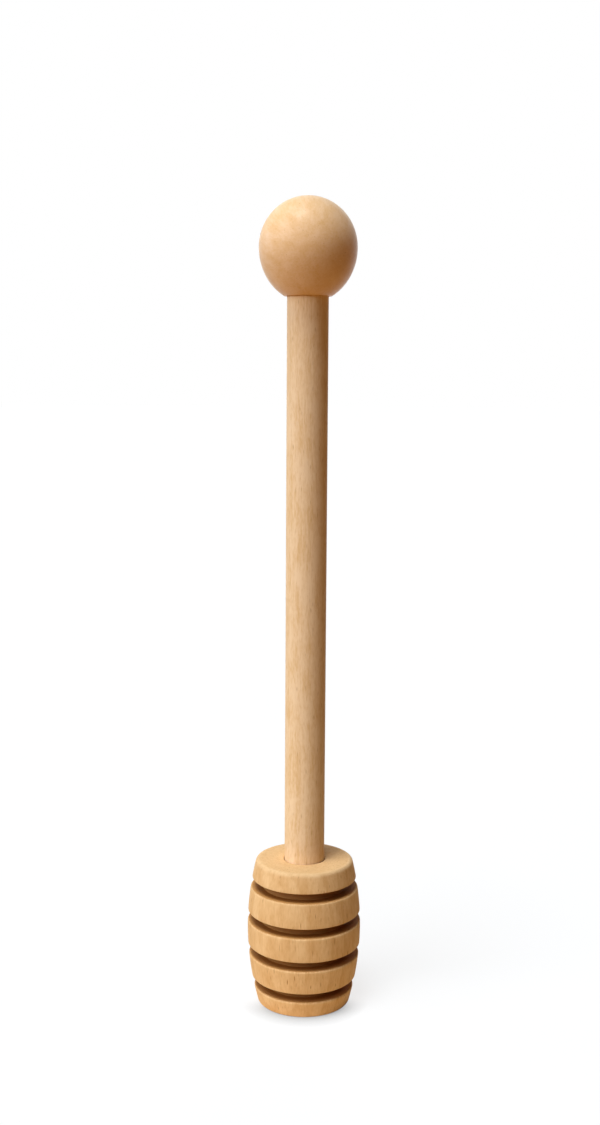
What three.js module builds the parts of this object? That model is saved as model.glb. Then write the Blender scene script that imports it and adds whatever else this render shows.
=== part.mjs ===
// Honey spoon of pale turned wood, standing on the flat end of its head.
// Three pieces share one turning axis, which is +Z: the grooved head at the bottom,
// the slim rod glued into its top, and the ball knob glued onto the rod.
// All sizes are in millimetres, and the origin is the centre of the head's flat base.

import * as THREE from 'three';

// Overall size, from the flat base to the crown of the knob
const overallLength = 150;

// Barrel head
const headLength = 27.7;
const headBaseDiameter = 17.4;
const headBellyDiameter = 21.4;
const headBellyHeight = 14.6;
const headTopDiameter = 18.1;
const headSocketDepth = 14;

// Rings and grooves of the head, counted from the base
const grooveCount = 4;
const grooveWidth = 1.8;
const grooveDepth = 2.35;
const baseRingHeight = 3.15;
const topRingHeight = 3.55;

// Eased edges of the head, and the largest share of an edge that easing may take
const baseEdgeRadius = 0.25;
const ringLowerEdgeRadius = 0.12;
const ringUpperEdgeRadius = 0.35;
const topEdgeRadius = 0.7;
const easeLimit = 0.9;

// Rod: its length follows from the sockets that it is glued into
const rodDiameter = 7.5;
const rodEndChamfer = 0.6;

// Ball knob: crown height is from the widest place up, length is from the faced seat to the crown
const knobDiameter = 17.7;
const knobLength = 17.6;
const knobCrownHeight = 9.05;
const knobSeatLand = 0.2;
const knobSocketDepth = 9;

// Glued sockets: gap round the rod, gap under its end, eased mouth and the drill's cone
const socketSideGap = 0.2;
const socketEndGap = 0.3;
const socketMouthChamfer = 0.15;
const drillPointAngle = THREE.MathUtils.degToRad(118);

// Finish of the bare wood
const headFinish = { color: 0xdcab70, roughness: 0.62, metalness: 0 };
const rodFinish = { color: 0xdfb98c, roughness: 0.58, metalness: 0 };
const knobFinish = { color: 0xdfb485, roughness: 0.5, metalness: 0 };

// Fineness of the turned surfaces
const facetsAround = 60;
const edgeSteps = 3;
const ringSteps = 3;
const knobSteps = 14;

// Places along the axis
const knobSeatHeight = overallLength - knobLength;
const headSocketFloor = headLength - headSocketDepth;
const knobSocketFloor = knobSeatHeight + knobSocketDepth;

// Both sockets are drilled by the same bit, which leaves a cone at the bottom
const rodRadius = rodDiameter / 2;
const socketRadius = rodRadius + socketSideGap;
const mouthRadius = socketRadius + socketMouthChamfer;
const drillPointDepth = socketRadius / Math.tan(drillPointAngle / 2);

// Radius of the barrel's outside at a height: a shallow bulge that is widest at the belly
function barrelRadius(height) {
  const bellyRadius = headBellyDiameter / 2;
  const aboveBelly = height > headBellyHeight;
  const endRadius = (aboveBelly ? headTopDiameter : headBaseDiameter) / 2;
  const span = aboveBelly ? headLength - headBellyHeight : headBellyHeight;
  const share = (height - headBellyHeight) / span;
  return bellyRadius - (bellyRadius - endRadius) * share * share;
}

function onBarrel(height) {
  return new THREE.Vector2(barrelRadius(height), height);
}

function onGrooveFloor(height) {
  return new THREE.Vector2(barrelRadius(height) - grooveDepth, height);
}

// Point that lies a given distance from a corner, on the way to its neighbour
function pointTowards(corner, neighbour, distance) {
  return neighbour.clone().sub(corner).setLength(distance).add(corner);
}

// Points of a corner that is eased off between its two neighbours
function easedCorner(before, corner, after, radius) {
  const shorterEdge = Math.min(corner.distanceTo(before), corner.distanceTo(after));
  const reach = Math.min(radius, shorterEdge * easeLimit);
  const start = pointTowards(corner, before, reach);
  const end = pointTowards(corner, after, reach);
  return new THREE.QuadraticBezierCurve(start, corner, end).getPoints(edgeSteps);
}

// Section of one ring, from its lower edge up its bulging side to its upper edge
function ringSection(low, high, lowInner, highInner, lowEase, highEase) {
  const side = [];
  for (let step = 1; step < ringSteps; step += 1) {
    side.push(onBarrel(THREE.MathUtils.lerp(low, high, step / ringSteps)));
  }
  return [
    ...easedCorner(lowInner, onBarrel(low), side.at(0), lowEase),
    ...side,
    ...easedCorner(side.at(-1), onBarrel(high), highInner, highEase),
  ];
}

// Solid of revolution about +Z from a profile of (radius, height) points
function turned(profile, name, finish) {
  const geometry = new THREE.LatheGeometry(profile, facetsAround);
  geometry.rotateX(Math.PI / 2);
  const mesh = new THREE.Mesh(geometry, new THREE.MeshStandardMaterial(finish));
  mesh.name = name;
  return mesh;
}

// Head: one block, grooved to a constant depth below its bulging side, with a flat base,
// a flat top and a drilled socket for the rod
function dipperHead() {
  const ringCount = grooveCount + 1;
  const innerRings = ringCount - 2;
  const endRings = baseRingHeight + topRingHeight;
  const innerRingHeight = (headLength - endRings - grooveCount * grooveWidth) / innerRings;
  const baseCentre = new THREE.Vector2(0, 0);
  const socketMouth = new THREE.Vector2(mouthRadius, headLength);

  const profile = [baseCentre];
  let low = 0;
  for (let ring = 0; ring < ringCount; ring += 1) {
    const isBase = ring === 0;
    const isTop = ring === ringCount - 1;
    const high = isTop ? headLength : low + (isBase ? baseRingHeight : innerRingHeight);
    const lowInner = isBase ? baseCentre : onGrooveFloor(low);
    const highInner = isTop ? socketMouth : onGrooveFloor(high);
    const lowEase = isBase ? baseEdgeRadius : ringLowerEdgeRadius;
    const highEase = isTop ? topEdgeRadius : ringUpperEdgeRadius;
    if (!isBase) {
      profile.push(lowInner);
    }
    profile.push(...ringSection(low, high, lowInner, highInner, lowEase, highEase));
    profile.push(highInner);
    low = high + grooveWidth;
  }
  profile.push(
    new THREE.Vector2(socketRadius, headLength - socketMouthChamfer),
    new THREE.Vector2(socketRadius, headSocketFloor),
    new THREE.Vector2(0, headSocketFloor - drillPointDepth),
  );
  return turned(profile, 'dipper_head', headFinish);
}

// Rod: a straight dowel with chamfered ends
function handleRod() {
  const bottom = headSocketFloor + socketEndGap;
  const top = knobSocketFloor - socketEndGap;
  const profile = [
    new THREE.Vector2(0, bottom),
    new THREE.Vector2(rodRadius - rodEndChamfer, bottom),
    new THREE.Vector2(rodRadius, bottom + rodEndChamfer),
    new THREE.Vector2(rodRadius, top - rodEndChamfer),
    new THREE.Vector2(rodRadius - rodEndChamfer, top),
    new THREE.Vector2(0, top),
  ];
  return turned(profile, 'handle_rod', rodFinish);
}

// Knob: a ball that is drawn out a little below its widest place, faced off flat where
// the rod enters, with a drilled socket
function ballKnob() {
  const radius = knobDiameter / 2;
  const widestHeight = overallLength - knobCrownHeight;
  const seatRadius = mouthRadius + knobSeatLand;
  const seatAngle = Math.acos(seatRadius / radius);
  const lowerSemiAxis = (widestHeight - knobSeatHeight) / Math.sin(seatAngle);
  const lowerCurve = new THREE.EllipseCurve(
    0, widestHeight, radius, lowerSemiAxis, -seatAngle, 0);
  const crownCurve = new THREE.EllipseCurve(
    0, widestHeight, radius, knobCrownHeight, 0, Math.PI / 2);
  const crown = crownCurve.getPoints(knobSteps).slice(1, -1);

  const profile = [
    new THREE.Vector2(0, knobSocketFloor + drillPointDepth),
    new THREE.Vector2(socketRadius, knobSocketFloor),
    new THREE.Vector2(socketRadius, knobSeatHeight + socketMouthChamfer),
    new THREE.Vector2(mouthRadius, knobSeatHeight),
    ...lowerCurve.getPoints(knobSteps),
    ...crown,
    new THREE.Vector2(0, overallLength),
  ];
  return turned(profile, 'ball_knob', knobFinish);
}

const honeySpoon = new THREE.Group();
honeySpoon.add(dipperHead(), handleRod(), ballKnob());

export default honeySpoon;
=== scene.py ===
import math

import bpy
from mathutils import Matrix, Vector


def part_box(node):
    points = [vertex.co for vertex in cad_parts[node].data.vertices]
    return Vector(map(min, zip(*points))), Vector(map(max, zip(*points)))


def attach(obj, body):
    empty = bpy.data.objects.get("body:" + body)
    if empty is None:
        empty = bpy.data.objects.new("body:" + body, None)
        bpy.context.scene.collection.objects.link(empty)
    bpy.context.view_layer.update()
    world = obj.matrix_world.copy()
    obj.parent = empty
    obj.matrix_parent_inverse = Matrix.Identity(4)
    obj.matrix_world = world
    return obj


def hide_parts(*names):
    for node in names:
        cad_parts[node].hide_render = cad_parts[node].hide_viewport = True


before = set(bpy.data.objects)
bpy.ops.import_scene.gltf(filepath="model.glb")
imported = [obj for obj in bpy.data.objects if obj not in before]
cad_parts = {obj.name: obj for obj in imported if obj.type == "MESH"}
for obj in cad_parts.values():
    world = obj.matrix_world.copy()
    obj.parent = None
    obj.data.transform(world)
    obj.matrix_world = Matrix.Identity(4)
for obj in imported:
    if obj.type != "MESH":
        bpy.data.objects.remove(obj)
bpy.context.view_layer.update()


# Grooved head
# One block of pale beech, turned to a barrel and cut with four square grooves of one depth,
# which leave five rings. It stands on its flat base, and its flat top is drilled for the rod.

MM = 0.001
head_low, head_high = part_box("dipper_head")
head_sizes = {
    "Length": head_high.z - head_low.z,
    "Base Diameter": 17.4 * MM,
    "Belly Diameter": head_high.x - head_low.x,
    "Belly Height": 14.6 * MM,
    "Top Diameter": 18.1 * MM,
    "Groove Count": 4,
    "Groove Width": 1.8 * MM,
    "Groove Depth": 2.35 * MM,
    "Base Ring Height": 3.15 * MM,
    "Top Ring Height": 3.55 * MM,
    "Base Edge": 0.25 * MM,
    "Lower Edge": 0.12 * MM,
    "Upper Edge": 0.35 * MM,
    "Top Edge": 0.7 * MM,
    "Groove Corner": 0.15 * MM,
    "Mouth Radius": 3.99 * MM,
    "Socket Radius": 3.89 * MM,
    "Socket Depth": 14 * MM,
    "Drill Point": 2.37 * MM,
    "Facets": 192,
}
barrel_sizes = ("Length", "Base Diameter", "Belly Diameter", "Belly Height", "Top Diameter")


def place(tree, kind, inputs=None, **options):
    """Adds a node, sets its options, and links or sets the inputs that are given."""
    node = tree.nodes.new(kind)
    for option, value in options.items():
        setattr(node, option, value)
    for name, value in (inputs or {}).items():
        if isinstance(value, bpy.types.NodeSocket):
            tree.links.new(value, node.inputs[name])
        else:
            node.inputs[name].default_value = value
    return node


def calc(tree, operation, *values):
    """A Math node on sockets or numbers."""
    return place(tree, "ShaderNodeMath", dict(enumerate(values)), operation=operation).outputs[0]


def vector_calc(tree, operation, *values):
    """A Vector Math node on sockets or vectors."""
    return place(tree, "ShaderNodeVectorMath", dict(enumerate(values)), operation=operation).outputs[0]


def scaled(tree, vector, factor):
    """A vector times a number."""
    return place(tree, "ShaderNodeVectorMath", {0: vector, "Scale": factor}, operation="SCALE").outputs[0]


def length_of(tree, vector):
    """The length of a vector."""
    return place(tree, "ShaderNodeVectorMath", {0: vector}, operation="LENGTH").outputs["Value"]


def part_of(tree, vector, axis):
    """One coordinate of a vector."""
    return place(tree, "ShaderNodeSeparateXYZ", {0: vector}).outputs[axis]


def off_axis(tree, vector):
    """How far a point lies from the Z axis."""
    flat = (1, 1, 0)
    return length_of(tree, vector_calc(tree, "MULTIPLY", vector, flat))


def choose(tree, condition, when_false, when_true):
    """One of two numbers, by a condition."""
    inputs = {"Switch": condition, "False": when_false, "True": when_true}
    return place(tree, "GeometryNodeSwitch", inputs, input_type="FLOAT").outputs[0]


def new_tree(name, kind, inputs, outputs):
    """A node tree with named sockets, and its input and output nodes."""
    tree = bpy.data.node_groups.new(name, kind)
    for in_out, sockets in (("INPUT", inputs), ("OUTPUT", outputs)):
        for socket, socket_kind in sockets:
            tree.interface.new_socket(socket, in_out=in_out, socket_type="NodeSocket" + socket_kind)
    given = tree.nodes.new("NodeGroupInput").outputs
    result = tree.nodes.new("NodeGroupOutput").inputs
    return tree, given, result


HALF = 0.5
SAME = 0.1
SEAM_GAP = 0.001 * MM
CREASE = math.radians(30)


def lathe_group():
    """Turns a profile of (radius, 0, height) points about +Z into a closed mesh."""
    tree, given, result = new_tree(
        "Lathe", "GeometryNodeTree",
        [("Profile", "Geometry"), ("Facets", "Int")], [("Mesh", "Geometry")])
    profile = given["Profile"]
    size = place(tree, "GeometryNodeAttributeDomainSize", {"Geometry": profile}, component="CURVE")
    points = size.outputs["Point Count"]
    columns = calc(tree, "ADD", given["Facets"], 1)
    grid = place(tree, "GeometryNodeMeshGrid", {"Vertices X": columns, "Vertices Y": points})

    # The grid's points run up the profile, column by column
    index = place(tree, "GeometryNodeInputIndex").outputs[0]
    column = calc(tree, "FLOOR", calc(tree, "DIVIDE", calc(tree, "ADD", index, HALF), points))
    row = calc(tree, "SUBTRACT", index, calc(tree, "MULTIPLY", column, points))
    position = place(tree, "GeometryNodeInputPosition").outputs[0]
    on_profile = place(
        tree, "GeometryNodeSampleIndex", {"Geometry": profile, "Value": position, "Index": row},
        data_type="FLOAT_VECTOR", domain="POINT").outputs[0]
    radius = part_of(tree, on_profile, "X")
    angle = calc(tree, "MULTIPLY", calc(tree, "DIVIDE", column, given["Facets"]), math.tau)
    turned_place = place(tree, "ShaderNodeCombineXYZ", {
        "X": calc(tree, "MULTIPLY", radius, calc(tree, "COSINE", angle)),
        "Y": calc(tree, "MULTIPLY", radius, calc(tree, "SINE", angle)),
        "Z": part_of(tree, on_profile, "Z"),
    }).outputs[0]
    mesh = grid.outputs["Mesh"]
    mesh = place(tree, "GeometryNodeSetPosition", {"Geometry": mesh, "Position": turned_place}).outputs[0]
    mesh = place(tree, "GeometryNodeMergeByDistance", {"Geometry": mesh, "Distance": SEAM_GAP}).outputs[0]

    # Smooth, but for the edges that fold sharply
    fold = place(tree, "GeometryNodeInputMeshEdgeAngle").outputs["Unsigned Angle"]
    is_soft = calc(tree, "LESS_THAN", fold, CREASE)
    for domain, is_smooth in (("FACE", True), ("EDGE", is_soft)):
        inputs = {"Geometry": mesh, "Shade Smooth": is_smooth}
        mesh = place(tree, "GeometryNodeSetShadeSmooth", inputs, domain=domain).outputs[0]
    tree.links.new(mesh, result["Mesh"])
    return tree


def barrel_group():
    """Radius of the barrel's outside at a height: a shallow bulge that is widest at the belly."""
    tree, given, result = new_tree(
        "Barrel", "GeometryNodeTree",
        [(name, "Float") for name in ("Height", *barrel_sizes)], [("Radius", "Float")])
    belly_height = given["Belly Height"]
    belly = given["Belly Diameter"]
    above = calc(tree, "GREATER_THAN", given["Height"], belly_height)
    end = choose(tree, above, given["Base Diameter"], given["Top Diameter"])
    reach = choose(tree, above, belly_height, calc(tree, "SUBTRACT", given["Length"], belly_height))
    share = calc(tree, "DIVIDE", calc(tree, "SUBTRACT", given["Height"], belly_height), reach)
    drop = calc(tree, "MULTIPLY", calc(tree, "SUBTRACT", belly, end), calc(tree, "MULTIPLY", share, share))
    across = calc(tree, "SUBTRACT", belly, drop)
    tree.links.new(calc(tree, "DIVIDE", across, 2), result["Radius"])
    return tree


def finished_mesh(tree, mesh, material, result):
    """Ends a piece's tree: its mesh made real, with its wood."""
    real = place(tree, "GeometryNodeRealizeInstances", {"Geometry": mesh}).outputs[0]
    finished = place(tree, "GeometryNodeSetMaterial", {"Geometry": real, "Material": material}).outputs[0]
    tree.links.new(finished, result["Mesh"])


lathe = lathe_group()
barrel = barrel_group()
SIDE_STEPS = 5
RING_POINTS = SIDE_STEPS + 3
SOCKET_POINTS = 3
EASE_STEPS = 7


def head_tree():
    """The head from its sizes: the section of every ring in turn, then the socket, turned on the axis."""
    whole_numbers = ("Groove Count", "Facets")
    inputs = [(name, "Int" if name in whole_numbers else "Float") for name in head_sizes]
    tree, given, result = new_tree(
        "Grooved head", "GeometryNodeTree", inputs + [("Wood", "Material")], [("Mesh", "Geometry")])

    def barrel_radius(height):
        sizes = {name: given[name] for name in barrel_sizes}
        return place(tree, "GeometryNodeGroup", {"Height": height, **sizes}, node_tree=barrel).outputs[0]

    # Spacing of the rings
    grooves = given["Groove Count"]
    all_grooves = calc(tree, "MULTIPLY", grooves, given["Groove Width"])
    end_rings = calc(tree, "ADD", given["Base Ring Height"], given["Top Ring Height"])
    inner_rings = calc(tree, "SUBTRACT", calc(tree, "SUBTRACT", given["Length"], end_rings), all_grooves)
    inner_ring = calc(tree, "DIVIDE", inner_rings, calc(tree, "SUBTRACT", grooves, 1))
    pitch = calc(tree, "ADD", inner_ring, given["Groove Width"])

    # Which ring a point belongs to, and its step along that ring's section
    index = place(tree, "GeometryNodeInputIndex").outputs[0]
    ring = calc(tree, "FLOOR", calc(tree, "DIVIDE", index, RING_POINTS))
    step = calc(tree, "SUBTRACT", index, calc(tree, "MULTIPLY", ring, RING_POINTS))
    high = calc(tree, "ADD", given["Base Ring Height"], calc(tree, "MULTIPLY", ring, pitch))
    low = calc(tree, "MAXIMUM", calc(tree, "SUBTRACT", high, inner_ring), 0)
    high = calc(tree, "MINIMUM", high, given["Length"])
    side = {"Value": step, "From Min": 1, "From Max": SIDE_STEPS + 1}
    share = place(tree, "ShaderNodeMapRange", side).outputs[0]
    rise = calc(tree, "MULTIPLY", calc(tree, "SUBTRACT", high, low), share)
    height = calc(tree, "ADD", low, rise)
    off_middle = calc(tree, "ABSOLUTE", calc(tree, "SUBTRACT", step, (RING_POINTS - 1) / 2))
    on_floor = calc(tree, "GREATER_THAN", off_middle, RING_POINTS / 2 - 1)
    on_edge = calc(tree, "COMPARE", off_middle, SIDE_STEPS / 2, SAME)
    sink = calc(tree, "MULTIPLY", on_floor, given["Groove Depth"])
    radius = calc(tree, "SUBTRACT", barrel_radius(height), sink)

    # The section starts at the base's centre and ends in the socket
    ring_points = calc(tree, "MULTIPLY", calc(tree, "ADD", grooves, 1), RING_POINTS)
    at_mouth = calc(tree, "COMPARE", index, calc(tree, "SUBTRACT", ring_points, 1), SAME)
    radius = choose(tree, calc(tree, "LESS_THAN", index, HALF), radius, 0)
    radius = choose(tree, at_mouth, radius, given["Mouth Radius"])
    past_rings = calc(tree, "SUBTRACT", index, ring_points)
    in_socket = calc(tree, "GREATER_THAN", past_rings, -HALF)
    chamfer = calc(tree, "SUBTRACT", given["Mouth Radius"], given["Socket Radius"])
    at_chamfer = calc(tree, "LESS_THAN", past_rings, HALF)
    at_tip = calc(tree, "GREATER_THAN", past_rings, SOCKET_POINTS - 1 - HALF)
    depth = choose(tree, at_chamfer, given["Socket Depth"], chamfer)
    depth = choose(tree, at_tip, depth, calc(tree, "ADD", given["Socket Depth"], given["Drill Point"]))
    radius = choose(tree, in_socket, radius, choose(tree, at_tip, given["Socket Radius"], 0))
    height = choose(tree, in_socket, height, calc(tree, "SUBTRACT", given["Length"], depth))
    section = place(tree, "ShaderNodeCombineXYZ", {"X": radius, "Z": height}).outputs[0]

    # Eased edges: crisp below each ring, softer above it, fuller at the base and the top
    at_base = calc(tree, "LESS_THAN", index, SIDE_STEPS)
    at_top = calc(tree, "GREATER_THAN", index, calc(tree, "SUBTRACT", ring_points, SIDE_STEPS))
    is_upper = calc(tree, "GREATER_THAN", share, HALF)
    ease = choose(tree, is_upper, given["Lower Edge"], given["Upper Edge"])
    ease = choose(tree, at_base, ease, given["Base Edge"])
    ease = choose(tree, at_top, ease, given["Top Edge"])
    ease = calc(tree, "MULTIPLY", ease, on_edge)
    ease = choose(tree, on_floor, ease, given["Groove Corner"])
    ease = choose(tree, in_socket, ease, 0)

    count = calc(tree, "ADD", ring_points, SOCKET_POINTS)
    points = place(tree, "GeometryNodePoints", {"Count": count, "Position": section}).outputs[0]
    line = place(tree, "GeometryNodePointsToCurves", {"Points": points}).outputs[0]
    easing = {"Curve": line, "Count": EASE_STEPS, "Radius": ease, "Limit Radius": True}
    eased = place(tree, "GeometryNodeFilletCurve", easing, mode="POLY").outputs[0]
    turning = {"Profile": eased, "Facets": given["Facets"]}
    mesh = place(tree, "GeometryNodeGroup", turning, node_tree=lathe).outputs[0]

    # How deep in a groove each point lies, for the finish and its painted groove shade: nothing on the
    # base, the top and the socket
    spot = place(tree, "GeometryNodeInputPosition").outputs[0]
    spot_height = part_of(tree, spot, "Z")
    spot_radius = off_axis(tree, spot)
    top_edge = calc(tree, "SUBTRACT", given["Length"], given["Top Edge"])
    above_base = calc(tree, "GREATER_THAN", spot_height, given["Base Edge"])
    under_top = calc(tree, "LESS_THAN", spot_height, top_edge)
    outside_socket = calc(tree, "GREATER_THAN", spot_radius, given["Mouth Radius"])
    on_side = calc(tree, "MULTIPLY", calc(tree, "MULTIPLY", above_base, under_top), outside_socket)
    below = calc(tree, "SUBTRACT", barrel_radius(spot_height), spot_radius)

    # How far each point lies from the corner of the top, which is painted pale there as a highlight
    aside = calc(tree, "SUBTRACT", spot_radius, calc(tree, "DIVIDE", given["Top Diameter"], 2))
    under = calc(tree, "SUBTRACT", spot_height, given["Length"])
    to_rim = place(tree, "ShaderNodeCombineXYZ", {"X": aside, "Z": under}).outputs[0]

    measures = {
        "groove_depth": calc(tree, "MULTIPLY", below, on_side),
        "rim_distance": length_of(tree, to_rim),
    }
    for name, value in measures.items():
        inputs = {"Geometry": mesh, "Name": name, "Value": value}
        mesh = place(
            tree, "GeometryNodeStoreNamedAttribute", inputs, data_type="FLOAT", domain="POINT").outputs[0]
    finished_mesh(tree, mesh, given["Wood"], result)
    return tree


def made(name, tree, sizes, start=None):
    """Runs a tree on a start mesh, or on none, and keeps what it makes as a plain mesh."""
    piece = bpy.data.objects.new(name, start or bpy.data.meshes.new(name))
    bpy.context.scene.collection.objects.link(piece)
    recipe = piece.modifiers.new("Recipe", "NODES")
    recipe.node_group = tree
    for socket in tree.interface.items_tree:
        if socket.in_out == "INPUT" and socket.name in sizes:
            recipe[socket.identifier] = sizes[socket.name]
    depsgraph = bpy.context.evaluated_depsgraph_get()
    mesh = bpy.data.meshes.new_from_object(
        piece.evaluated_get(depsgraph), preserve_all_data_layers=True, depsgraph=depsgraph)
    piece.modifiers.clear()
    piece.data = mesh
    mesh.name = name
    return piece


def soft_step(tree, value, low, high):
    """A mask that goes softly from 0 at one value to 1 at another."""
    inputs = {"Value": value, "From Min": low, "From Max": high}
    return place(tree, "ShaderNodeMapRange", inputs, interpolation_type="SMOOTHSTEP").outputs[0]


MIX_FIRST = 6
MIX_SECOND = 7
MIX_RESULT = 2


def mixed(tree, share, first, second):
    """Two colours mixed by a share."""
    inputs = {"Factor": share, MIX_FIRST: first, MIX_SECOND: second}
    return place(tree, "ShaderNodeMix", inputs, data_type="RGBA").outputs[MIX_RESULT]


def stretched_noise(tree, place_mm, sizes, detail, roughness=0.5):
    """Noise whose lumps have the given sizes along X, Y and Z, in millimetres."""
    scale = tuple(1 / size for size in sizes)
    vector = vector_calc(tree, "MULTIPLY", place_mm, scale)
    inputs = {"Vector": vector, "Scale": 1, "Detail": detail, "Roughness": roughness}
    return place(tree, "ShaderNodeTexNoise", inputs).outputs


def beech_group():
    """Pale beech with its grain along Z, or along Z turned by an angle: growth rings about the tree's pith,
    streaks along the fibres, short dark and pale flecks, and slow changes of tone.
    Lengths are in millimetres."""
    drift_size = (9, 9, 34)
    drift_middle = (0.5, 0.5, 0.5)
    drift_reach = (3.2, 3.2, 0)
    late_growth = 2.5
    ring_close = (1.0, 0.9)
    fibre_size = (0.42, 0.42, 8)
    pore_size = (0.27, 0.27, 1.1)
    patch_shape = (1, 1, 2.2)
    fleck_edge = (0.24, 0.06)
    pale_chance = (0.6, 1.0)
    small_fleck_share = 0.35
    small_glint_share = 0.6
    middle_tone = 0.3
    fleck_openness = 0.6
    fibre_openness = 0.3
    pore_relief = 0.8

    tree, given, result = new_tree(
        "Beech", "ShaderNodeTree",
        [("Place", "Vector"), ("Grain Turn", "Vector"), ("Pith", "Vector"), ("Ring Width", "Float"),
         ("Pale", "Color"), ("Deep", "Color"), ("Fleck", "Color"),
         ("Ring Strength", "Float"), ("Streak Strength", "Float"),
         ("Fleck Strength", "Float"), ("Fleck Shape", "Float"),
         ("Patch Strength", "Float"), ("Patch Size", "Float")],
        [("Colour", "Color"), ("Open Grain", "Float"), ("Height", "Float")])

    # Place along the grain, which wanders a little
    turning = {"Vector": scaled(tree, given["Place"], 1 / MM), "Rotation": given["Grain Turn"]}
    place_mm = place(tree, "ShaderNodeVectorRotate", turning, rotation_type="EULER_XYZ").outputs[0]
    drift = stretched_noise(tree, place_mm, drift_size, detail=2)["Color"]
    drift = vector_calc(tree, "SUBTRACT", drift, drift_middle)
    drift = vector_calc(tree, "MULTIPLY", drift, drift_reach)
    along = vector_calc(tree, "ADD", place_mm, drift)

    # Growth rings that darken slowly and end sharply
    age = off_axis(tree, vector_calc(tree, "SUBTRACT", along, given["Pith"]))
    season = calc(tree, "FRACT", calc(tree, "DIVIDE", age, given["Ring Width"]))
    darkening = calc(tree, "POWER", season, late_growth)
    late = calc(tree, "MULTIPLY", darkening, soft_step(tree, season, *ring_close))

    def swing(where, sizes, detail, roughness=0.5):
        """Noise about zero."""
        noise = stretched_noise(tree, where, sizes, detail, roughness)["Fac"]
        return calc(tree, "SUBTRACT", noise, HALF)

    fibre = swing(along, fibre_size, detail=4, roughness=0.62)
    pores = swing(along, pore_size, detail=2)
    patch_place = scaled(tree, along, calc(tree, "DIVIDE", 1, given["Patch Size"]))
    patch = swing(patch_place, patch_shape, detail=3)

    def flecks(size, rarity):
        """Small spindles along the grain, each cell with its own strength, and some of them pale."""
        slim = calc(tree, "DIVIDE", given["Fleck Shape"], size)
        scale = place(tree, "ShaderNodeCombineXYZ", {"X": 1 / size, "Y": 1 / size, "Z": slim}).outputs[0]
        cell_place = vector_calc(tree, "MULTIPLY", along, scale)
        cells = place(tree, "ShaderNodeTexVoronoi", {"Vector": cell_place, "Scale": 1}).outputs
        chance = place(tree, "ShaderNodeSeparateColor", {0: cells["Color"]}).outputs
        spot = soft_step(tree, cells["Distance"], *fleck_edge)
        dark = calc(tree, "MULTIPLY", spot, calc(tree, "POWER", chance["Red"], rarity))
        light = calc(tree, "MULTIPLY", spot, soft_step(tree, chance["Green"], *pale_chance))
        return dark, light

    large_dark, large_light = flecks(size=0.5, rarity=1.3)
    small_dark, small_light = flecks(size=0.3, rarity=1.5)
    fleck = calc(tree, "MULTIPLY_ADD", small_dark, small_fleck_share, large_dark)
    glint = calc(tree, "MULTIPLY_ADD", small_light, small_glint_share, large_light)

    tone = calc(tree, "MULTIPLY", late, given["Ring Strength"])
    tone = calc(tree, "MULTIPLY_ADD", fibre, given["Streak Strength"], tone)
    tone = calc(tree, "MULTIPLY_ADD", patch, given["Patch Strength"], tone)
    tone = calc(tree, "MULTIPLY_ADD", pores, given["Streak Strength"], tone)
    tone = calc(tree, "SUBTRACT", tone, calc(tree, "MULTIPLY", glint, given["Fleck Strength"]))
    tone = place(tree, "ShaderNodeClamp", {"Value": calc(tree, "ADD", tone, middle_tone)}).outputs[0]
    colour = mixed(tree, tone, given["Pale"], given["Deep"])
    colour = mixed(tree, calc(tree, "MULTIPLY", fleck, given["Fleck Strength"]), colour, given["Fleck"])
    tree.links.new(colour, result["Colour"])

    open_grain = calc(tree, "MULTIPLY", fleck, fleck_openness)
    open_grain = calc(tree, "ADD", open_grain, calc(tree, "ADD", fibre, fibre_openness))
    tree.links.new(open_grain, result["Open Grain"])
    height = calc(tree, "ADD", fibre, calc(tree, "MULTIPLY", pores, pore_relief))
    tree.links.new(calc(tree, "SUBTRACT", height, fleck), result["Height"])
    return tree


def turning_group():
    """Faint marks that the tool leaves round a turned piece, closer or wider by their spacing."""
    tilt = 0.7
    tree, given, result = new_tree(
        "Turning marks", "ShaderNodeTree",
        [("Place", "Vector"), ("Spacing", "Float")], [("Height", "Float")])
    radius = off_axis(tree, given["Place"])
    height = part_of(tree, given["Place"], "Z")
    travel = calc(tree, "ADD", height, calc(tree, "MULTIPLY", radius, tilt))
    turns = calc(tree, "DIVIDE", travel, calc(tree, "MULTIPLY", given["Spacing"], MM))
    inputs = {"W": turns, "Scale": 1, "Detail": 2, "Roughness": 0.6}
    marks = place(tree, "ShaderNodeTexNoise", inputs, noise_dimensions="1D").outputs["Fac"]
    tree.links.new(marks, result["Height"])
    return tree


beech = beech_group()
turning_marks = turning_group()


def wood(name, spacing, **grain_values):
    """Starts a wood material: its tree, its shader, its grain and its tool marks."""
    material = bpy.data.materials.new(name)
    material.use_nodes = True
    tree = material.node_tree
    shader = tree.nodes["Principled BSDF"]
    spot = place(tree, "ShaderNodeTexCoord").outputs["Object"]
    grain = place(tree, "ShaderNodeGroup", {"Place": spot}, node_tree=beech)
    for value_name, value in grain_values.items():
        grain.inputs[value_name.replace("_", " ").title()].default_value = value
    marks = place(tree, "ShaderNodeGroup", {"Place": spot, "Spacing": spacing}, node_tree=turning_marks)
    return material, tree, shader, grain, marks.outputs["Height"]


def finish(tree, shader, colour, roughness, relief, bump_strength, bump_depth, shine):
    """Joins what was made to the shader of a wood material."""
    bump = place(
        tree, "ShaderNodeBump",
        {"Height": relief, "Strength": bump_strength, "Distance": bump_depth}).outputs[0]
    for name, value in (("Base Color", colour), ("Roughness", roughness), ("Normal", bump)):
        tree.links.new(value, shader.inputs[name])
    shader.inputs["Specular IOR Level"].default_value = shine


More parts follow.
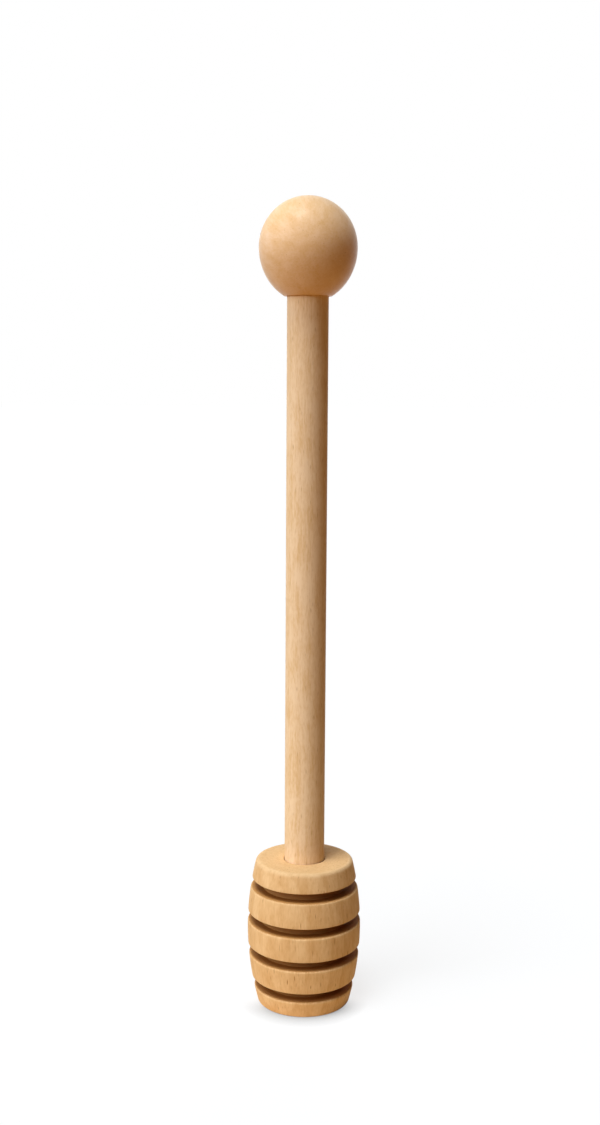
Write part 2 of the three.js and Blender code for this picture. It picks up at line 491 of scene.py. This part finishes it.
def head_finish():
    """Bare turned beech, darkened brown in the grooves by depth, partly tool scorch and partly painted
    shade, with a painted highlight on the pale top rim and a little wear on the groove lips.
    """
    material, tree, shader, grain, marks = wood(
        "head_wood", spacing=0.5, pith=(38, 64, 0), ring_width=2.6,
        pale=(0.825, 0.540, 0.271, 1), deep=(0.640, 0.350, 0.131, 1), fleck=(0.40, 0.17, 0.045, 1),
        streak_strength=0.7, fleck_strength=1.0, fleck_shape=0.12, patch_size=2.2)
    # Pale colour: a painted highlight on the top rim, and a little real wear on the groove lips
    worn_and_highlight_pale = (0.95, 0.70, 0.42, 1)
    # The toast, scorch and burnish colours are partly tool scorch and partly painted shade in the grooves
    toast_and_lip_shade = (0.46, 0.20, 0.045, 1)
    scorch_and_wall_shade = (0.245, 0.086, 0.011, 1)
    burnish_and_floor_shade = (0.38, 0.175, 0.053, 1)
    ring_strength = 0.35
    patch_strength = 1.35
    end_grain_calm = 0.7
    level = (0.6, 1.0)
    rim_highlight_band = (0.95 * MM, 0.4 * MM)
    rim_highlight_share = 0.2
    edge_width = 0.06 * MM
    edge_end = 0.3 * MM
    edge_wear = 0.05
    ragged_reach = 0.24 * MM
    toast_and_shade_depth = (0, 0.32 * MM)
    scorch_and_shade_depth = (0.3 * MM, 1.7 * MM)
    burnish_and_shade_depth = (2.2 * MM, 2.33 * MM)
    open_roughness = 0.18
    side_roughness = 0.56
    burnish_polish = -0.15
    mark_relief = 0.5

    # The flat faces are end grain, which is calmer
    facing = place(tree, "ShaderNodeNewGeometry").outputs["True Normal"]
    end_grain = soft_step(tree, calc(tree, "ABSOLUTE", part_of(tree, facing, "Z")), *level)
    calm = calc(tree, "MULTIPLY_ADD", end_grain, -end_grain_calm, 1)
    tree.links.new(calc(tree, "MULTIPLY", calm, ring_strength), grain.inputs["Ring Strength"])
    tree.links.new(calc(tree, "MULTIPLY", calm, patch_strength), grain.inputs["Patch Strength"])
    grain = grain.outputs

    # The top rim is painted pale as a highlight, and the groove lips are worn a little pale
    rim = place(tree, "ShaderNodeAttribute", attribute_name="rim_distance").outputs["Fac"]
    depth = place(tree, "ShaderNodeAttribute", attribute_name="groove_depth").outputs["Fac"]
    rim_highlight = soft_step(tree, rim, *rim_highlight_band)
    edge_start = soft_step(tree, depth, 0, edge_width)
    edge = calc(tree, "SUBTRACT", edge_start, soft_step(tree, depth, edge_width, edge_end))
    wear_and_highlight = calc(tree, "MULTIPLY_ADD", rim_highlight, rim_highlight_share, calc(tree, "MULTIPLY", edge, edge_wear))
    colour = mixed(tree, wear_and_highlight, grain["Colour"], worn_and_highlight_pale)

    # Grooves are darkened by depth, partly tool scorch and partly painted shade: toasted at their lips,
    # which also paints down their highlight, scorched on their walls and burnished on their floors
    # Mixes a colour in by a mask; here partly tool scorch and partly painted shade in the grooves
    def stain_and_shade(base, mask, stain, strength):
        return mixed(tree, mask, base, mixed(tree, strength, base, stain))

    ragged = calc(tree, "MULTIPLY_ADD", grain["Height"], ragged_reach, depth)
    burnish_and_shade_mask = soft_step(tree, depth, *burnish_and_shade_depth)
    colour = stain_and_shade(colour, soft_step(tree, ragged, *toast_and_shade_depth), toast_and_lip_shade, strength=0.8)
    colour = stain_and_shade(colour, soft_step(tree, ragged, *scorch_and_shade_depth), scorch_and_wall_shade, strength=0.9)
    colour = stain_and_shade(colour, burnish_and_shade_mask, burnish_and_floor_shade, strength=0.75)
    roughness = calc(tree, "MULTIPLY_ADD", grain["Open Grain"], open_roughness, side_roughness)
    roughness = calc(tree, "MULTIPLY_ADD", burnish_and_shade_mask, burnish_polish, roughness)
    relief = calc(tree, "MULTIPLY_ADD", marks, mark_relief, grain["Height"])
    finish(tree, shader, colour, roughness, relief, bump_strength=0.5, bump_depth=0.05 * MM, shine=0.05)
    return material


head_wood = head_finish()
head = made("grooved_head", head_tree(), {**head_sizes, "Wood": head_wood})
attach(head, "root")
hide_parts("dipper_head")


# Rod
# A straight dowel of paler beech with chamfered ends, sanded along its length,
# and glued at one end into the head and at the other into the knob.

rod_low, rod_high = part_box("handle_rod")
rod_radius = (rod_high.x - rod_low.x) / 2
ROD_CHAMFER = 0.6 * MM
ROD_FACETS = 128
rod_profile = [
    (0, rod_low.z),
    (rod_radius - ROD_CHAMFER, rod_low.z),
    (rod_radius, rod_low.z + ROD_CHAMFER),
    (rod_radius, rod_high.z - ROD_CHAMFER),
    (rod_radius - ROD_CHAMFER, rod_high.z),
    (0, rod_high.z),
]


def turned_tree():
    """A drawn profile of (radius, 0, height) points, turned on the axis."""
    tree, given, result = new_tree(
        "Turned piece", "GeometryNodeTree",
        [("Profile", "Geometry"), ("Facets", "Int"), ("Wood", "Material")], [("Mesh", "Geometry")])
    line = place(tree, "GeometryNodeMeshToCurve", {"Mesh": given["Profile"]}).outputs[0]
    turning = {"Profile": line, "Facets": given["Facets"]}
    mesh = place(tree, "GeometryNodeGroup", turning, node_tree=lathe).outputs[0]
    finished_mesh(tree, mesh, given["Wood"], result)
    return tree


def drawn(name, profile):
    """A profile of (radius, height) pairs as a line of mesh edges."""
    line = bpy.data.meshes.new(name + "_profile")
    edges = [(i, i + 1) for i in range(len(profile) - 1)]
    line.from_pydata([(radius, 0, height) for radius, height in profile], edges, [])
    return line


def plain_finish(tree, shader, grain, marks, open_roughness, roughness, mark_relief, **bump_and_shine):
    """Wood of one colour and polish all over."""
    grain = grain.outputs
    rough = calc(tree, "MULTIPLY_ADD", grain["Open Grain"], open_roughness, roughness)
    relief = calc(tree, "MULTIPLY_ADD", marks, mark_relief, grain["Height"])
    finish(tree, shader, grain["Colour"], rough, relief, **bump_and_shine)


def rod_finish():
    """Bare beech of straight grain, lightly sanded."""
    material, *nodes = wood(
        "rod_wood", spacing=0.8, pith=(-52, 30, 0), ring_width=1.9,
        pale=(0.94, 0.688, 0.432, 1), deep=(0.81, 0.529, 0.260, 1), fleck=(0.50, 0.26, 0.08, 1),
        ring_strength=0.25, streak_strength=1.6, fleck_strength=0.55, fleck_shape=0.18,
        patch_strength=1.6, patch_size=2.2)
    plain_finish(
        *nodes, open_roughness=0.15, roughness=0.52, mark_relief=0.2,
        bump_strength=0.4, bump_depth=0.04 * MM, shine=0.1)
    return material


rod_wood = rod_finish()
turned = turned_tree()
rod = made("rod", turned, {"Facets": ROD_FACETS, "Wood": rod_wood}, drawn("rod", rod_profile))
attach(rod, "root")
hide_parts("handle_rod")


# Ball knob
# A ball of pale beech with its grain across the rod, turned and rubbed to a satin finish, drawn out a
# little below its widest place and faced off flat where the rod is glued into its drilled socket.

knob_low, knob_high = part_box("ball_knob")
knob_radius = (knob_high.x - knob_low.x) / 2
KNOB_CROWN = 9.05 * MM
KNOB_SEAT_RADIUS = 4.3 * MM
KNOB_SOCKET_DEPTH = 9 * MM
KNOB_STEPS = 40
KNOB_FACETS = 160


def arc(semi_width, semi_height, middle, start, end, steps):
    """Points of part of an ellipse about the axis, by angle above the widest place."""
    angles = [start + (end - start) * i / steps for i in range(steps + 1)]
    return [(semi_width * math.cos(a), middle + semi_height * math.sin(a)) for a in angles]


def knob_profile():
    """Socket, mouth, seat, lower curve and crown, from the socket's cone to the crown."""
    socket_radius = head_sizes["Socket Radius"]
    mouth_radius = head_sizes["Mouth Radius"]
    socket_end = knob_low.z + KNOB_SOCKET_DEPTH
    widest = knob_high.z - KNOB_CROWN
    seat_angle = math.acos(KNOB_SEAT_RADIUS / knob_radius)
    lower_height = (widest - knob_low.z) / math.sin(seat_angle)
    lower = arc(knob_radius, lower_height, widest, -seat_angle, 0, KNOB_STEPS)
    crown = arc(knob_radius, KNOB_CROWN, widest, 0, math.pi / 2, KNOB_STEPS)
    return [
        (0, socket_end + head_sizes["Drill Point"]),
        (socket_radius, socket_end),
        (socket_radius, knob_low.z + mouth_radius - socket_radius),
        (mouth_radius, knob_low.z),
        *lower,
        *crown[1:-1],
        (0, knob_high.z),
    ]


def knob_finish():
    """Beech rubbed smooth, with a satin sheen and a mottled face."""
    material, *nodes = wood(
        "knob_wood", spacing=1.2, grain_turn=(1.15, 0.2, 0.3), pith=(-30, -85, 0), ring_width=3.4,
        pale=(0.955, 0.643, 0.374, 1), deep=(0.815, 0.476, 0.180, 1), fleck=(0.50, 0.22, 0.06, 1),
        ring_strength=0.15, streak_strength=0.7, fleck_strength=0.4, fleck_shape=0.4,
        patch_strength=1.3, patch_size=1.6)
    plain_finish(
        *nodes, open_roughness=0.12, roughness=0.26, mark_relief=0.3,
        bump_strength=0.25, bump_depth=0.03 * MM, shine=0.16)
    return material


knob_wood = knob_finish()
knob_line = drawn("knob", knob_profile())
knob = made("ball_knob_turned", turned, {"Facets": KNOB_FACETS, "Wood": knob_wood}, knob_line)
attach(knob, "root")
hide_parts("ball_knob")


# Studio
# A plain pale floor with a painted contact shadow in front of the spoon, a high and a low soft lamp at the
# front left, a weak cool one at the left side and one behind that lights the back, a warm bounce from the
# floor with a weak warm fill, and a camera.

FLOOR_HALF = 6.0
FLOOR_DROP = 0.01 * MM
FLOOR_SHADE = (0.2, 0.2, 0.2, 1)
FLOOR_GLOW = (0.80, 0.80, 0.80, 1)
CONTACT_SHADE = (0.06, 0.075, 0.075, 1)
CONTACT_REACH = 4 * MM
CONTACT_SAMPLES = 16
CONTACT_FRONT = -7 * MM
BOUNCE_NEAR = 20 * MM
BOUNCE_FAR = 110 * MM
BOUNCE_NEAR_COLOUR = (0.81, 0.60, 0.35, 1)
BOUNCE_FAR_COLOUR = (0.31, 0.135, 0.011, 1)


def shows_white(tree):
    """1 for rays that show the white surroundings: to the camera, in a shine or through glass."""
    path = place(tree, "ShaderNodeLightPath").outputs
    seen = calc(tree, "MAXIMUM", path["Is Camera Ray"], path["Is Glossy Ray"])
    return calc(tree, "MAXIMUM", seen, path["Is Transmission Ray"])


def floor_white():
    """White to the camera but for the lamps' shadow and a painted contact shadow, and a pale warm bounce to
    everything else.
    """
    material = bpy.data.materials.new("floor_white")
    material.use_nodes = True
    tree = material.node_tree
    tree.nodes.clear()
    spot = place(tree, "ShaderNodeTexCoord").outputs["Object"]

    # Seen floor: its own glow, the lamps' shadow, and a painted contact shadow in front of where the spoon
    # stands
    contact = place(
        tree, "ShaderNodeAmbientOcclusion", {"Distance": CONTACT_REACH},
        samples=CONTACT_SAMPLES).outputs["AO"]
    in_front = soft_step(tree, part_of(tree, spot, "Y"), 0, CONTACT_FRONT)
    painted_contact_shadow = calc(tree, "MULTIPLY", calc(tree, "SUBTRACT", 1, contact), in_front)
    glow = mixed(tree, painted_contact_shadow, FLOOR_GLOW, CONTACT_SHADE)
    glow = place(tree, "ShaderNodeEmission", {"Color": glow, "Strength": 1.0}).outputs[0]
    shade = place(tree, "ShaderNodeBsdfDiffuse", {"Color": FLOOR_SHADE}).outputs[0]
    white = place(tree, "ShaderNodeAddShader", {0: shade, 1: glow}).outputs[0]

    # Bounce: paler near the spoon than far from it
    far = soft_step(tree, length_of(tree, spot), BOUNCE_NEAR, BOUNCE_FAR)
    bounce = mixed(tree, far, BOUNCE_NEAR_COLOUR, BOUNCE_FAR_COLOUR)
    bounce = place(tree, "ShaderNodeBsdfDiffuse", {"Color": bounce}).outputs[0]
    both = place(tree, "ShaderNodeMixShader", {0: shows_white(tree), 1: bounce, 2: white}).outputs[0]
    place(tree, "ShaderNodeOutputMaterial", {"Surface": both})
    return material


floor_mesh = bpy.data.meshes.new("floor")
corner_signs = ((-1, -1), (1, -1), (1, 1), (-1, 1))
corners = [(x * FLOOR_HALF, y * FLOOR_HALF, -FLOOR_DROP) for x, y in corner_signs]
floor_mesh.from_pydata(corners, [], [range(len(corners))])
floor = bpy.data.objects.new("floor", floor_mesh)
floor_mesh.materials.append(floor_white())
bpy.context.scene.collection.objects.link(floor)

# Lamps, by degrees round from the front, up and across; the one behind gives no shine
LAMPS = {
    "high_lamp": dict(around=-34, up=72, across=24, strength=2.33, colour=(0.87, 0.95, 1.0), shines=True),
    "low_lamp": dict(around=-54, up=28, across=50, strength=1.94, colour=(0.92, 0.945, 1.0), shines=True),
    "side_lamp": dict(around=-110, up=12, across=20, strength=0.56, colour=(0.50, 0.75, 1.0), shines=True),
    "back_lamp": dict(around=172, up=5, across=50, strength=1.4, colour=(1.0, 0.95, 0.88), shines=False),
}
for lamp_name, facts in LAMPS.items():
    azimuth = math.radians(facts["around"])
    elevation = math.radians(facts["up"])
    lamp_from = Vector((
        math.sin(azimuth) * math.cos(elevation),
        -math.cos(azimuth) * math.cos(elevation),
        math.sin(elevation)))
    light = bpy.data.lights.new(lamp_name, "SUN")
    light.energy = facts["strength"]
    light.color = facts["colour"]
    light.angle = math.radians(facts["across"])
    lamp = bpy.data.objects.new(lamp_name, light)
    lamp.visible_glossy = facts["shines"]
    lamp.rotation_euler = lamp_from.to_track_quat("Z", "Y").to_euler()
    bpy.context.scene.collection.objects.link(lamp)

# World: white where it is seen, and a weak warm fill
FILL_COLOUR = (1.0, 0.45, 0.20, 1)
FILL_STRENGTH = 0.045
WHITE = (1, 1, 1, 1)
world = bpy.data.worlds.new("studio")
bpy.context.scene.world = world
world.use_nodes = True
sky = world.node_tree
sky.nodes.clear()
fill = place(sky, "ShaderNodeBackground", {"Color": FILL_COLOUR, "Strength": FILL_STRENGTH}).outputs[0]
white_sky = place(sky, "ShaderNodeBackground", {"Color": WHITE, "Strength": 1.0}).outputs[0]
both_skies = place(sky, "ShaderNodeMixShader", {0: shows_white(sky), 1: fill, 2: white_sky}).outputs[0]
place(sky, "ShaderNodeOutputWorld", {"Surface": both_skies})

# Camera, in front of the spoon and level with its upper rod
CAMERA_PLACE = Vector((-1.15, -249.6, 117.3)) * MM
CAMERA_DIP = math.radians(7.565)
CAMERA_ROLL = math.radians(0.337)
SENSOR_MM = 36
LENS_MM = 43.75
NEAREST_SEEN = 10 * MM
camera_data = bpy.data.cameras.new("camera")
camera_data.sensor_width = SENSOR_MM
camera_data.lens = LENS_MM
camera_data.clip_start = NEAREST_SEEN
camera = bpy.data.objects.new("camera", camera_data)
camera.matrix_world = (
    Matrix.Translation(CAMERA_PLACE)
    @ Matrix.Rotation(math.pi / 2 - CAMERA_DIP, 4, "X")
    @ Matrix.Rotation(CAMERA_ROLL, 4, "Z"))
bpy.context.scene.collection.objects.link(camera)
bpy.context.scene.camera = camera
bpy.context.scene.view_settings.view_transform = "Standard"
